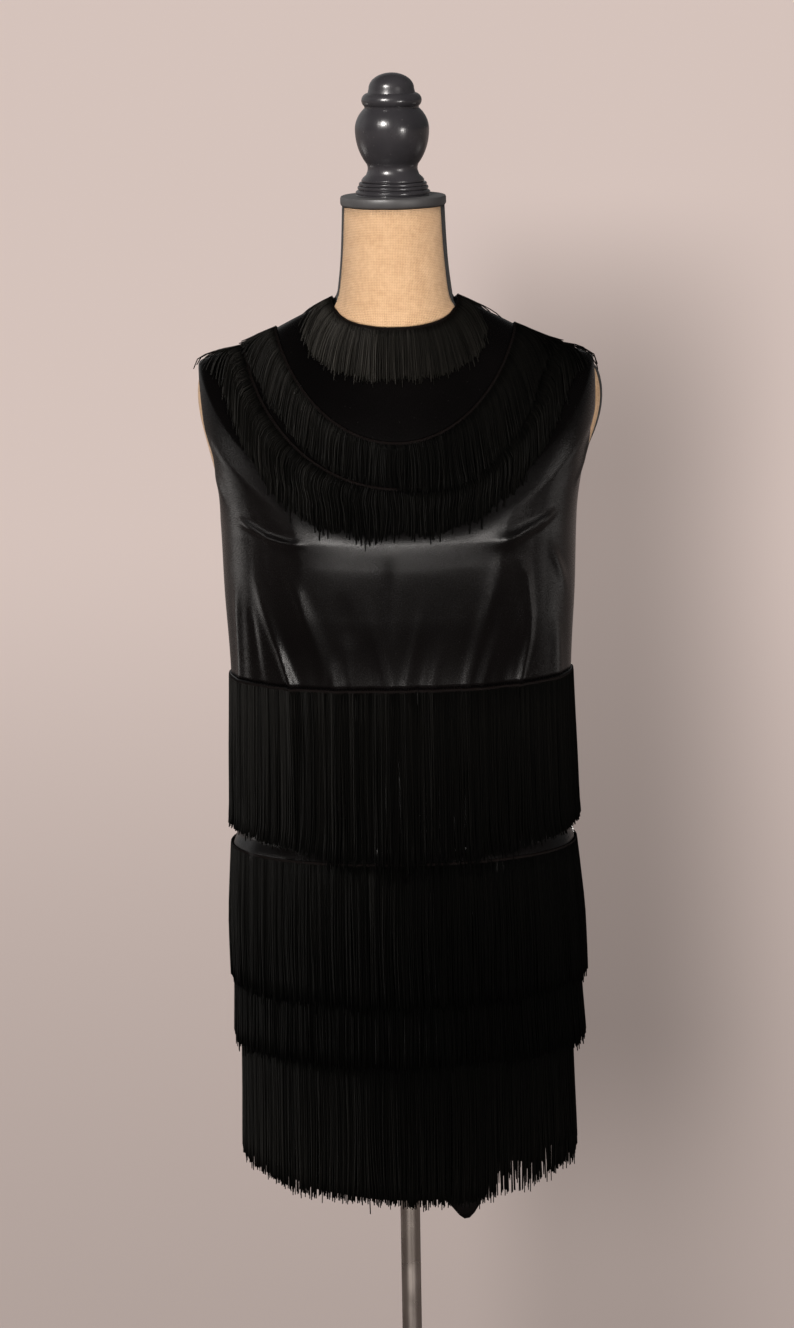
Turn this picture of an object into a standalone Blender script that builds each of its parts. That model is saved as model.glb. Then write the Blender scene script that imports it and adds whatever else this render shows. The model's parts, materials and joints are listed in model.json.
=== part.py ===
"""Flapper dress with fringe, on a limbless dress form: metres, +Z up, the wearer faces -Y.

The origin is on the floor under the middle of the base. The dress and the form are lofted
through rings. An angle of 0 is the centre front, 90 the wearer's left side (+X), 180 the
centre back. Heights and sizes in the tables are in millimetres, and build in metres.
"""

import math
from collections import namedtuple

import bmesh
import bpy
from mathutils import Vector

MM = 0.001

# Cloth and clearances
CLOTH_WALL = 1.5
SEAM_GAP = 0.3
FORM_REST_GAP = 0.5
FORM_LOOSE_GAP = 3.0
FORM_REST_END = 3.2
COLUMN = 6

# Stand
BASE_RADIUS = 160.0
BASE_FLAT = 26.0
BASE_CROWN = 13.0
BASE_SLOPE = 12.0
BASE_SHOULDER = 9.0
BASE_RIM = 6.0
BASE_EDGE = 3.0
BASE_CHAMFER = 1.0
COLLAR_RADIUS = 19.0
COLLAR_TOP = 42.0
COLLAR_EDGE = 2.0
COLLAR_FILLET = 6.0
POLE_RADIUS = 10.0
POLE_FIT = 0.3
FLANGE_RADIUS = 32.0
FLANGE_THICKNESS = 7.0
FLANGE_EDGE = 3.0
FORM_BOTTOM = 737.0
TURNED_STEPS = 24

# Top of the form
NECK_TOP = 1469.7
CAP_RADIUS = 52.0
CAP_THICKNESS = 10.0
CAP_EDGE = 2.0

# The finial from its top down: elliptic arcs, each turning from start to end degrees, then the
# steps of its foot as a radius and a height above the cap
Arc = namedtuple("Arc", "centre_radius centre_height radius height start end points")
FINIAL_ARCS = {
    "dome": Arc(0, 104, 21.5, 15.3, 90, 0, 5),
    "bead": Arc(20.5, 92, 7.8, 7.5, 85, -50, 6),
    "ball_top": Arc(0, 65.3, 35.5, 29.5, 44, 0, 4),
    "ball_bottom": Arc(0, 65.3, 35.5, 47, -12, -48, 4),
}
FINIAL_FOOT = {
    "waist": (23.4, 27),
    "waist_flare": (25, 20),
    "upper_ring": (29.8, 16),
    "upper_ring_low": (30.2, 12),
    "lower_ring": (34.2, 9),
    "lower_ring_low": (35.3, 4),
    "rim": (35.3, 0),
}

# One ring of the dress or the form: its heights at the centre front, the sides and the centre
# back, its three half sizes, how square it is from above (1 is an ellipse), how gently it rounds
# over the shoulders, and how straight its front and back edges are (1 is a plain curve).
FIELDS = "front side back half_width front_depth back_depth square round straight"
Ring = namedtuple("Ring", FIELDS, defaults=(0.3, 1.0))

DRESS_RINGS = {
    "neckline": Ring(1357, 1381, 1370, 60.0, 62, 60, 1.20, 0.25, 0.5),
    "upper_row": Ring(1251, 1352, 1290, 116.0, 106, 82, 1.00, 0.35),
    "lower_row": Ring(1208, 1335, 1248, 147.0, 118, 95, 1.10, 0.20),
    "shoulder_edge": Ring(1183, 1318, 1215, 195.0, 124, 102, 1.30, 0.25),
    "armhole_top": Ring(1170, 1285, 1198, 199.0, 126, 104, 1.30, 0.25),
    "armhole": Ring(1155, 1240, 1178, 189.5, 128, 106, 1.30),
    "underarm": Ring(1130, 1163, 1142, 177.0, 127, 104, 1.25),
    "ribs": Ring(1080, 1092, 1085, 174.5, 121, 101, 1.20),
    "waist_seam": Ring(1008, 1008, 1008, 170.0, 112, 99, 1.15),
    "seat": Ring(870, 870, 870, 168.0, 115, 113, 1.10),
    "second_tier": Ring(830, 830, 830, 172.0, 119, 118, 1.10),
    "third_tier": Ring(768, 768, 768, 171.5, 120, 118, 1.10),
    "fourth_tier": Ring(655, 655, 655, 165.5, 117, 114, 1.08),
    "hem": Ring(489, 518, 507, 160.0, 112, 108, 1.05),
}
RING_NAMES = list(DRESS_RINGS)

# The form above and below the dress's own rings
NECK_RINGS = [
    Ring(NECK_TOP, NECK_TOP, NECK_TOP, 50.5, 51, 50, 1.0),
    Ring(1425, 1427, 1427, 52.0, 53, 51.5, 1.0),
    Ring(1384, 1400, 1393, 54.5, 56, 54.5, 1.05),
]
HIP_RINGS = [
    Ring(1082, 1092, 1086, 148.0, 104, 88, 1.12),
    Ring(1030, 1032, 1030, 128.0, 92, 80, 1.08),
    Ring(975, 975, 975, 121.0, 88, 78, 1.05),
    Ring(915, 915, 915, 143.0, 97, 92, 1.05),
    Ring(850, 850, 850, 163.0, 109, 107, 1.08),
    Ring(795, 795, 795, 165.0, 111, 109, 1.08),
    Ring(749, 749, 749, 161.0, 108, 106, 1.08),
    Ring(FORM_BOTTOM, FORM_BOTTOM, FORM_BOTTOM, 150.0, 98, 96, 1.08),
]

# Rows of each panel, in rings from its top edge to its bottom edge
BODICE_ROWS = (0, 0.5, 1, 1.5, 2, 2.5, 3, 3.15, 3.6, 4.3, 5.1, 5.7, 6, 6.7, 7.5, 8)
SKIRT_ROWS = (8, 8.5, 9, 10, 11, 12, 12.5, 13)
FORM_YOKE_ROWS = BODICE_ROWS[:13]
FORM_ANGLES = (0, 12, 24, 36, 48, 60, 72, 78, 84, 90, 96, 102, 108, 120, 132, 144, 156, 168)

# How far the front and the back reach round the body at the middle of the right and left armhole
Armhole = namedtuple("Armhole", "front back swell")
ARMHOLES = {-1: Armhole(72.0, 79.0, 5.0), 1: Armhole(80.0, 76.0, 12.5)}
# The form's shoulder cap swells out beyond the armhole's edge, fully after this many degrees
CAP_SWELL_START = 1.0
CAP_SWELL_DEGREES = 9.0

# Troughs gathered into the waist seam: where, how deep and how far up they reach
Gather = namedtuple("Gather", "angle depth reach")
WAIST_GATHERS = [
    Gather(-66, 2.5, 0.8),
    Gather(-48, 3.5, 1.1),
    Gather(-30, 4.0, 1.2),
    Gather(-18, 3.0, 0.7),
    Gather(-6, 4.0, 1.0),
    Gather(6, 3.5, 1.3),
    Gather(18, 3.0, 0.8),
    Gather(30, 4.0, 1.1),
    Gather(42, 3.5, 0.9),
    Gather(60, 3.0, 1.2),
    Gather(108, 3.0, 0.9),
    Gather(126, 4.0, 1.2),
    Gather(144, 3.0, 0.8),
    Gather(162, 4.0, 1.1),
    Gather(-108, 3.5, 1.1),
    Gather(-132, 3.0, 0.9),
    Gather(-150, 4.0, 1.2),
    Gather(-168, 3.0, 0.7),
]
GATHER_SPREAD = 9.0

# Waves of the hem: where, how deep, and how much lower or higher the edge hangs there
Wave = namedtuple("Wave", "angle depth drop spread")
HEM_WAVES = [
    Wave(-72, 9.0, -4.0, 18.0),
    Wave(-48, 5.0, 0.0, 14.0),
    Wave(-24, 8.0, 2.0, 16.0),
    Wave(6, 6.0, 3.0, 14.0),
    Wave(21, 4.0, 26.0, 10.0),
    Wave(42, 13.0, -17.0, 18.0),
    Wave(66, 9.0, -12.0, 18.0),
    Wave(108, 8.0, 3.0, 18.0),
    Wave(144, 9.0, -3.0, 18.0),
    Wave(-168, 7.0, 4.0, 18.0),
    Wave(-132, 9.0, -4.0, 18.0),
    Wave(-102, 7.0, 3.0, 16.0),
]

# Fringe: the ring its band starts from, the angle its band ends at beside the centre back (180
# is all round), the locks' length at the sides and centres, and how far off the cloth they hang
# at the knee, part of the way down, and at their tips.
Fringe = namedtuple("Fringe", "ring end side centre lift_knee lift_tip")
FRINGES = {
    "fringe_neck": Fringe("neckline", 168, 52, 54, 3.0, 3.4),
    "fringe_yoke_upper": Fringe("upper_row", 174, 50, 48, 4.3, 4.7),
    "fringe_yoke_lower": Fringe("lower_row", 174, 42, 46, 2.4, 3.0),
    "fringe_tier_1": Fringe("waist_seam", 180, 150, 160, 4.0, 5.6),
    "fringe_tier_2": Fringe("second_tier", 180, 122, 119, 6.0, 9.5),
    "fringe_tier_3": Fringe("third_tier", 180, 132, 134, 5.0, 10.5),
    "fringe_tier_4": Fringe("fourth_tier", 180, 141, 153, 4.0, 7.5),
}
BAND_HEIGHT = 5.0
BAND_LIFT = 0.95
BAND_WALL = 1.6
LOCK_WALL = 2.8
LOCK_FILL = 0.84
LOCK_KNEE = 0.5
LOCK_UNEVEN = 4.0

# Placket of the centre back opening
PLACKET_HALF_WIDTH = 7.0
PLACKET_WALL = 1.2
PLACKET_END = 7.5


def monotone(values, t):
    """The value at t of a smooth curve with values[i] at t = i, which never overshoots them."""
    last = len(values) - 1
    index = min(max(int(math.floor(t)), 0), last - 1)
    step = t - index

    def slope(i):
        if i in (0, last):
            return values[min(i + 1, last)] - values[max(i - 1, 0)]
        before, after = values[i] - values[i - 1], values[i + 1] - values[i]
        return 0.0 if before * after <= 0 else 2 * before * after / (before + after)

    start, end = values[index], values[index + 1]
    if step > 1:
        return end + (step - 1) * slope(index + 1)
    square, cube = step**2, step**3
    return (
        (2 * cube - 3 * square + 1) * start
        + (cube - 2 * square + step) * slope(index)
        + (3 * square - 2 * cube) * end
        + (cube - square) * slope(index + 1)
    )


def dress_ring(t):
    columns = zip(*DRESS_RINGS.values())
    return Ring(*(monotone(column, t) for column in columns))


def on_ring(ring, angle):
    """A point of a ring, in millimetres."""
    turn = math.radians(angle)
    facing = math.cos(turn)
    share = abs(facing)
    middle = ring.front if facing > 0 else ring.back
    depth = ring.front_depth if facing > 0 else ring.back_depth
    reach = depth * (1 - (1 - share) ** ring.square)
    fall = (math.hypot(share, ring.round) - ring.round) / (math.hypot(1, ring.round) - ring.round)
    height = ring.side - (ring.side - middle) * fall**ring.straight
    return Vector((ring.half_width * math.sin(turn), math.copysign(reach, -facing), height))


def dress_point(angle, t):
    return on_ring(dress_ring(t), angle)


def outward(angle, t):
    """The dress's unit normal. At a side or a centre it lies in the seam's own plane."""
    across = dress_point(angle + 0.5, t) - dress_point(angle - 0.5, t)
    down = dress_point(angle, t + 0.02) - dress_point(angle, max(t - 0.02, 0))
    normal = down.cross(across)
    if angle % 180 == 0:
        normal.x = 0
    elif angle % 180 == 90:
        normal.y = 0
    return normal.normalized()


def angle_between(first, second):
    return abs((first - second + 180) % 360 - 180)


def bump(distance, spread):
    return math.cos(0.5 * math.pi * distance / spread) ** 2 if distance < spread else 0.0


def hem_share(t):
    """0 down to the last ring but one, then rising to 1 at the hem."""
    return min(1.0, max(0.0, t - (len(DRESS_RINGS) - 2)))


def fold_depth(angle, t):
    """How far the waist's gathers and the hem's waves pull the cloth in, in millimetres."""
    waist = RING_NAMES.index("waist_seam")
    depth = 0.0
    for gather in WAIST_GATHERS:
        fade = max(0.0, 1 - abs(t - waist) / gather.reach)
        depth += gather.depth * fade**1.5 * bump(angle_between(angle, gather.angle), GATHER_SPREAD)
    for wave in HEM_WAVES:
        near = bump(angle_between(angle, wave.angle), wave.spread)
        depth += wave.depth * hem_share(t) ** 1.4 * near
    return depth


def hem_drop(angle, t):
    drops = (wave.drop * bump(angle_between(angle, wave.angle), wave.spread) for wave in HEM_WAVES)
    return hem_share(t) ** 2 * sum(drops)


def cloth_point(angle, t):
    """A point of the cloth's outer face."""
    point = dress_point(angle, t) - outward(angle, t) * fold_depth(angle, t)
    point.z -= hem_drop(angle, t)
    return point


def armhole_reach(t, widest):
    """The angle at which a panel ends: at the side seam, or short of it beside the armhole."""
    top, bottom = RING_NAMES.index("shoulder_edge"), RING_NAMES.index("underarm")
    share = (t - top) / (bottom - top)
    if not 0 < share < 1:
        return 90.0
    return 90.0 - (90.0 - widest) * math.sin(math.pi * share) ** 0.6


def further_down(angle, t, distance):
    """The t that lies this far down the cloth from t, in millimetres along it."""
    step = 0.04
    point = dress_point(angle, t)
    while True:
        following = dress_point(angle, t + step)
        length = (following - point).length
        if length >= distance:
            return t + step * distance / length
        distance -= length
        point, t = following, t + step


def new_object(name, mesh_builder, material):
    mesh = bpy.data.meshes.new(name)
    builder = bmesh.new()
    mesh_builder(builder)
    bmesh.ops.recalc_face_normals(builder, faces=builder.faces)
    builder.to_mesh(mesh)
    builder.free()
    mesh.materials.append(material)
    item = bpy.data.objects.new(name, mesh)
    COLLECTION.objects.link(item)
    return item


def grid_vertices(builder, rows):
    return [[builder.verts.new(point * MM) for point in row] for row in rows]


def join_rows(builder, first, second, closed=False):
    """Quads between two rows of vertices."""
    count = len(first)
    for i in range(count if closed else count - 1):
        following = (i + 1) % count
        builder.faces.new((first[i], first[following], second[following], second[i]))


def shell(name, outer, inner, material):
    """A closed wall between two grids of points."""

    def build(builder):
        faces_out = grid_vertices(builder, outer)
        faces_in = grid_vertices(builder, inner)
        for grid in (faces_out, faces_in):
            for upper, lower in zip(grid, grid[1:]):
                join_rows(builder, upper, lower)
        for row in (0, -1):
            join_rows(builder, faces_out[row], faces_in[row])
        for column in (0, -1):
            edge_out = [row[column] for row in faces_out]
            edge_in = [row[column] for row in faces_in]
            join_rows(builder, edge_out, edge_in)

    item = new_object(name, build, material)
    smooth(item, 40)
    return item


def smooth(item, degrees):
    item.data.shade_smooth()
    item.data.set_sharp_from_angle(angle=math.radians(degrees))


def panel(name, facing, rows, material):
    """A front (facing 0) or back (facing 180) panel, from side seam to side seam."""
    count = 180 // COLUMN
    seam_shift = Vector((0, math.copysign(SEAM_GAP / 2, facing - 90), 0))
    outer, inner = [], []
    for row, t in enumerate(rows):
        edge_gap = Vector((0, 0, -SEAM_GAP if row == 0 and t > 0 else 0))
        outer.append([])
        inner.append([])
        for column in range(count + 1):
            across = 2 * column / count - 1
            armhole = ARMHOLES[1 if across > 0 else -1]
            if facing == 0:
                angle = across * armhole_reach(t, armhole.front)
            else:
                angle = 180 - across * armhole_reach(t, armhole.back)
            point = cloth_point(angle, t) + seam_shift + edge_gap
            outer[-1].append(point)
            inner[-1].append(point - outward(angle, t) * CLOTH_WALL)
    return shell(name, outer, inner, material)


def lock_length(fringe, angle):
    facing = math.cos(math.radians(angle)) ** 2
    even = fringe.side + (fringe.centre - fringe.side) * facing
    return even + LOCK_UNEVEN * 0.5 * (math.sin(angle * 0.71) + math.sin(angle * 0.29 + 1))


def lock_section(fringe, angle, distance, lift):
    """The four corners of a lock, which stand off the cloth far enough for it to bulge between."""
    t = further_down(angle, RING_NAMES.index(fringe.ring), distance)
    half = COLUMN * LOCK_FILL
    normal = outward(angle, t)

    def corner(turn, off):
        return dress_point(turn, t) + outward(turn, t) * off

    chord = (corner(angle - half, lift) + corner(angle + half, lift)) / 2
    clear = normal * max(0.0, (corner(angle, lift) - chord).dot(normal))
    places = ((-half, lift), (half, lift), (half, lift + LOCK_WALL), (-half, lift + LOCK_WALL))
    return [corner(angle + turn, off) + clear for turn, off in places]


def band_section(fringe, angle):
    """The four corners of the band: low inner, low outer, high outer, high inner."""
    top = RING_NAMES.index(fringe.ring)
    low = further_down(angle, top, BAND_HEIGHT)
    spots = ((low, 0), (low, BAND_WALL), (top, BAND_WALL), (top, 0))
    return [
        dress_point(angle, t) + outward(angle, t) * (BAND_LIFT + thickness)
        for t, thickness in spots
    ]


def fringe_node(name, fringe, material):
    """Locks that hang from a narrow band round the body, which lies on the cloth."""
    closed = fringe.end == 180
    angles = range(-fringe.end, fringe.end + (0 if closed else 1), COLUMN)

    def build(builder):
        band = grid_vertices(builder, [band_section(fringe, angle) for angle in angles])
        ends = band[1:] + band[:1] if closed else band[1:]
        for i, (here, there) in enumerate(zip(band, ends)):
            for side in (1, 2, 3):
                following = (side + 1) % 4
                builder.faces.new((here[side], there[side], there[following], here[following]))
            section = [here[0], there[0], there[1], here[1]]
            if i % 2 == 0:
                middle = angles[i] + COLUMN / 2
                length = lock_length(fringe, middle)
                for share, lift in ((LOCK_KNEE, fringe.lift_knee), (1.0, fringe.lift_tip)):
                    points = lock_section(fringe, middle, BAND_HEIGHT + share * length, lift)
                    following = [builder.verts.new(point * MM) for point in points]
                    join_rows(builder, section, following, closed=True)
                    section = following
            builder.faces.new(section)
        if not closed:
            builder.faces.new(band[0])
            builder.faces.new(band[-1])

    return new_object(name, build, material)


def placket(material):
    """The flap over the centre back opening, made from the back panel's own facets."""
    rows = [t for t in BODICE_ROWS if t <= PLACKET_END]

    def facet_point(t, offset, lift):
        centre = cloth_point(180, t)
        beside = cloth_point(math.copysign(180 - COLUMN, offset), t)
        share = abs(offset) / abs(beside.x)
        normal = outward(180, t)
        return centre.lerp(beside, share) + normal * lift + Vector((0, SEAM_GAP / 2, 0))

    def grid(lift):
        offsets = (-PLACKET_HALF_WIDTH, 0, PLACKET_HALF_WIDTH)
        return [[facet_point(t, offset or 1e-6, lift) for offset in offsets] for t in rows]

    return shell("back_placket", grid(SEAM_GAP + PLACKET_WALL), grid(SEAM_GAP), material)


def form_torso(material):
    """The body of the form: the dress's own surface drawn in, with its neck, waist and hips."""

    def swell(angle, t):
        seated = min(1.0, max(0.0, min(t, FORM_REST_END - t)))
        inset = CLOTH_WALL + FORM_LOOSE_GAP - seated * (FORM_LOOSE_GAP - FORM_REST_GAP)
        armhole = ARMHOLES[1 if angle > 0 else -1]
        edge = armhole_reach(t, max(armhole.front, armhole.back))
        beyond = 90 - abs(abs(angle) - 90) - edge - CAP_SWELL_START
        fade = min(1.0, max(0.0, underarm - t))
        return armhole.swell * fade * min(1.0, max(0.0, beyond / CAP_SWELL_DEGREES)) - inset

    underarm = RING_NAMES.index("underarm")
    angles = FORM_ANGLES + (180,) + tuple(-angle for angle in FORM_ANGLES[:0:-1])

    def build(builder):
        rings = [[on_ring(ring, angle) for angle in angles] for ring in NECK_RINGS]
        for t in FORM_YOKE_ROWS:
            rings.append([dress_point(a, t) + outward(a, t) * swell(a, t) for a in angles])
        rings += [[on_ring(ring, angle) for angle in angles] for ring in HIP_RINGS]
        loops = grid_vertices(builder, rings)
        for upper, lower in zip(loops, loops[1:]):
            join_rows(builder, upper, lower, closed=True)
        builder.faces.new(loops[0])
        builder.faces.new(loops[-1])

    item = new_object("form_torso", build, material)
    smooth(item, 50)
    return item


def turned(name, profile, material):
    """A turned piece, from (radius, height) points that run from its top down its outside."""
    mesh = bpy.data.meshes.new(name)
    ring_shaped = profile[0] == profile[-1]
    points = [(radius * MM, 0, height * MM) for radius, height in profile]
    edges = [(i, i + 1) for i in range(len(points) - 1)]
    if ring_shaped:
        points.pop()
        edges[-1] = (len(points) - 1, 0)
    mesh.from_pydata(points, edges, [])
    mesh.materials.append(material)
    item = bpy.data.objects.new(name, mesh)
    COLLECTION.objects.link(item)
    screw = item.modifiers.new("Turn", "SCREW")
    screw.axis = "Z"
    screw.steps = screw.render_steps = TURNED_STEPS
    screw.use_merge_vertices = True
    screw.merge_threshold = 0.0001
    screw.use_smooth_shade = True
    return item


def arc_points(arc, foot):
    """An elliptic arc's points, 0 degrees being straight out from its centre and 90 straight up."""
    for i in range(arc.points):
        turn = math.radians(arc.start + (arc.end - arc.start) * i / (arc.points - 1))
        radius = arc.centre_radius + arc.radius * math.cos(turn)
        yield radius, foot + arc.centre_height + arc.height * math.sin(turn)


def finial(material):
    foot = NECK_TOP + CAP_THICKNESS + 2 * SEAM_GAP
    profile = [point for arc in FINIAL_ARCS.values() for point in arc_points(arc, foot)]
    profile += [(radius, foot + height) for radius, height in FINIAL_FOOT.values()]
    return turned("finial", profile + [(0, foot)], material)


def neck_cap(material):
    low = NECK_TOP + SEAM_GAP
    top = low + CAP_THICKNESS
    profile = [(0, top), (CAP_RADIUS - CAP_EDGE, top), (CAP_RADIUS, top - CAP_EDGE)]
    profile += [(CAP_RADIUS, low + CAP_EDGE), (CAP_RADIUS - CAP_EDGE, low), (0, low)]
    return turned("neck_cap", profile, material)


def stand(material_steel, material_base):
    flange_top = FORM_BOTTOM - SEAM_GAP
    flange_low = flange_top - FLANGE_THICKNESS
    flange = [(0, flange_top), (FLANGE_RADIUS, flange_top), (FLANGE_RADIUS, flange_low + FLANGE_EDGE)]
    flange += [(FLANGE_RADIUS - FLANGE_EDGE, flange_low), (0, flange_low)]
    turned("pole_flange", flange, material_steel)
    pole_top = flange_low - SEAM_GAP
    pole_low = BASE_CROWN + SEAM_GAP
    pole = [(0, pole_top), (POLE_RADIUS, pole_top), (POLE_RADIUS, pole_low), (0, pole_low)]
    turned("pole", pole, material_steel)
    bore = POLE_RADIUS + POLE_FIT
    collar = [(bore, COLLAR_TOP), (COLLAR_RADIUS - COLLAR_EDGE, COLLAR_TOP)]
    collar += [(COLLAR_RADIUS, COLLAR_TOP - COLLAR_EDGE), (COLLAR_RADIUS, pole_low + COLLAR_FILLET)]
    collar += [(COLLAR_RADIUS + COLLAR_FILLET, pole_low), (bore, pole_low), (bore, COLLAR_TOP)]
    turned("base_collar", collar, material_base)
    base = [(0, BASE_CROWN), (BASE_FLAT, BASE_CROWN), (BASE_RADIUS - BASE_SLOPE, BASE_SHOULDER)]
    base += [(BASE_RADIUS - BASE_EDGE, BASE_RIM), (BASE_RADIUS, BASE_RIM - BASE_EDGE)]
    base += [(BASE_RADIUS, BASE_CHAMFER), (BASE_RADIUS - BASE_CHAMFER, 0), (0, 0)]
    turned("base", base, material_base)


def make_material(name, colour, roughness, metallic=0.0):
    material = bpy.data.materials.new(name)
    material.use_nodes = True
    shader = material.node_tree.nodes["Principled BSDF"]
    shader.inputs["Base Color"].default_value = (*colour, 1)
    shader.inputs["Roughness"].default_value = roughness
    shader.inputs["Metallic"].default_value = metallic
    material.diffuse_color = (*colour, 1)
    return material


def main():
    satin = make_material("black_satin", (0.012, 0.011, 0.012), 0.32)
    chainette = make_material("black_fringe", (0.010, 0.010, 0.009), 0.55)
    burlap = make_material("burlap", (0.62, 0.43, 0.24), 0.92)
    wood = make_material("black_lacquered_wood", (0.014, 0.013, 0.013), 0.28)
    cap_black = make_material("matt_black_cap", (0.025, 0.026, 0.028), 0.5)
    steel = make_material("brushed_steel", (0.62, 0.58, 0.54), 0.25, 1.0)
    base_steel = make_material("satin_steel_base", (0.55, 0.52, 0.49), 0.35, 1.0)

    panel("bodice_front", 0, BODICE_ROWS, satin)
    panel("bodice_back", 180, BODICE_ROWS, satin)
    panel("skirt_front", 0, SKIRT_ROWS, satin)
    panel("skirt_back", 180, SKIRT_ROWS, satin)
    placket(satin)
    for name, fringe in FRINGES.items():
        fringe_node(name, fringe, chainette)
    form_torso(burlap)
    neck_cap(cap_black)
    finial(wood)
    stand(steel, base_steel)


for leftover in list(bpy.data.objects):
    bpy.data.objects.remove(leftover)
COLLECTION = bpy.data.collections.new("flapper_dress_on_form")
bpy.context.scene.collection.children.link(COLLECTION)
main()
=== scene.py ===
import json
import math

import bmesh
import bpy
import numpy as np
from mathutils import Matrix, Vector

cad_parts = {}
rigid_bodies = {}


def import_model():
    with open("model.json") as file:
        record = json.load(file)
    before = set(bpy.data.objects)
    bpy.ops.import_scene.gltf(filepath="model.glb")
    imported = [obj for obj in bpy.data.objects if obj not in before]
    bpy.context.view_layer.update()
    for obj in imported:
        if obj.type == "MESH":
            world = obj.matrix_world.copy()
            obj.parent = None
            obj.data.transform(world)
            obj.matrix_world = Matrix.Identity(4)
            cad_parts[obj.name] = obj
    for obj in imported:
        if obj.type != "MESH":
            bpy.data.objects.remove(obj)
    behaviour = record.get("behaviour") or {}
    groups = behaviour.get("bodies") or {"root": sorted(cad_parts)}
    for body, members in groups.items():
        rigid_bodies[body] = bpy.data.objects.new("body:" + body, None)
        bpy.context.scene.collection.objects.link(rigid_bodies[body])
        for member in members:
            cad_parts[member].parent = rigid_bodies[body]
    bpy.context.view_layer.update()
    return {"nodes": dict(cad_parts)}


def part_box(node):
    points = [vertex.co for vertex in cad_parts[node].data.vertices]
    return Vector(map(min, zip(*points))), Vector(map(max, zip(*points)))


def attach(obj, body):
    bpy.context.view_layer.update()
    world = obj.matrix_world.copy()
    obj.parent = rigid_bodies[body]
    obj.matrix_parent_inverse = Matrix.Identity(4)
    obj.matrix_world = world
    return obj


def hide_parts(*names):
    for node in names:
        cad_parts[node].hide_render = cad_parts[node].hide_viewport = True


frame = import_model()
mm = 0.001


# The dress's surface: rings from the neck to the hem, and the angle round the body. Angle 0 is the
# centre front, 90 the wearer's left side, 180 the centre back. Millimetres. Columns: height at the
# front, side and back, half width, front and back depth, how square it is from above, how gently
# it rounds over the shoulders, how straight its edges are.
dressRings = {
    "neckline": (1357, 1381, 1370, 60.0, 62, 60, 1.20, 0.25, 0.5),
    "upper_row": (1251, 1352, 1290, 116.0, 106, 82, 1.00, 0.35, 1.0),
    "lower_row": (1208, 1335, 1248, 147.0, 118, 95, 1.10, 0.20, 1.0),
    "shoulder_edge": (1183, 1318, 1215, 195.0, 124, 102, 1.30, 0.25, 1.0),
    "armhole_top": (1170, 1285, 1198, 199.0, 126, 104, 1.30, 0.25, 1.0),
    "armhole": (1155, 1240, 1178, 189.5, 128, 106, 1.30, 0.30, 1.0),
    "underarm": (1130, 1163, 1142, 177.0, 127, 104, 1.25, 0.30, 1.0),
    "ribs": (1080, 1092, 1085, 174.5, 121, 101, 1.20, 0.30, 1.0),
    "waist_seam": (1008, 1008, 1008, 170.0, 112, 99, 1.15, 0.30, 1.0),
    "seat": (870, 870, 870, 168.0, 115, 113, 1.10, 0.30, 1.0),
    "second_tier": (830, 830, 830, 172.0, 119, 118, 1.10, 0.30, 1.0),
    "third_tier": (768, 768, 768, 171.5, 120, 118, 1.10, 0.30, 1.0),
    "fourth_tier": (655, 655, 655, 165.5, 117, 114, 1.08, 0.30, 1.0),
    "hem": (489, 518, 507, 160.0, 112, 108, 1.05, 0.30, 1.0),
}
ringNames = list(dressRings)
ringTable = np.array(list(dressRings.values()), float)
dressShape = {"armholeFront": (72.0, 80.0), "armholeBack": (79.0, 76.0), "wall": 0.9}


def ringSlopes():
    before = ringTable[1:-1] - ringTable[:-2]
    after = ringTable[2:] - ringTable[1:-1]
    total = np.where(before * after > 0, before + after, 1.0)
    inner = np.where(before * after > 0, 2 * before * after / total, 0.0)
    return np.vstack([ringTable[1] - ringTable[0], inner, ringTable[-1] - ringTable[-2]])


ringTangents = ringSlopes()


def ringValues(t):
    # smooth through the rings without overshooting them, and straight on past the hem
    index = np.clip(np.floor(t).astype(int), 0, len(ringTable) - 2)
    step = (t - index)[..., None]
    start, end = ringTable[index], ringTable[index + 1]
    leave, arrive = ringTangents[index], ringTangents[index + 1]
    square, cube = step**2, step**3
    within = (2 * cube - 3 * square + 1) * start + (cube - 2 * square + step) * leave
    within += (3 * square - 2 * cube) * end + (cube - square) * arrive
    return np.where(step > 1, end + (step - 1) * arrive, within)


def dressPoint(angle, t):
    # points of the plain surface, in metres, for arrays of angles and ring numbers
    angle, t = np.broadcast_arrays(np.asarray(angle, float), np.asarray(t, float))
    values = np.moveaxis(ringValues(t), -1, 0)
    front, side, back, halfWidth, frontDepth, backDepth, square, rounding, straight = values
    turn = np.radians(angle)
    facing = np.cos(turn)
    share = np.abs(facing)
    middle = np.where(facing > 0, front, back)
    reach = np.where(facing > 0, frontDepth, backDepth) * (1 - (1 - share) ** square)
    fall = (np.hypot(share, rounding) - rounding) / (np.hypot(1, rounding) - rounding)
    height = side - (side - middle) * fall**straight
    return np.stack([halfWidth * np.sin(turn), -np.sign(facing) * reach, height], -1) * mm


def unit(vectors):
    return vectors / np.maximum(np.linalg.norm(vectors, axis=-1, keepdims=True), 1e-12)


def sidewaysStep(angle, t):
    # one degree round the surface
    return dressPoint(angle + 0.5, t) - dressPoint(angle - 0.5, t)


def outward(angle, t):
    down = dressPoint(angle, t + 0.02) - dressPoint(angle, np.maximum(t - 0.02, 0))
    return unit(np.cross(down, sidewaysStep(angle, t)))


def furtherDown(angle, t, distances, reach=3.2):
    # ring numbers that lie these distances (metres, one row a strand) down the cloth from t
    samples = np.linspace(0, reach, 97)
    points = dressPoint(angle[:, None], t + samples[None, :])
    lengths = np.linalg.norm(np.diff(points, axis=1), axis=-1)
    along = np.hstack([np.zeros((len(angle), 1)), np.cumsum(lengths, axis=1)])
    return np.array([t + np.interp(d, row, samples) for d, row in zip(distances, along)])


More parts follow.
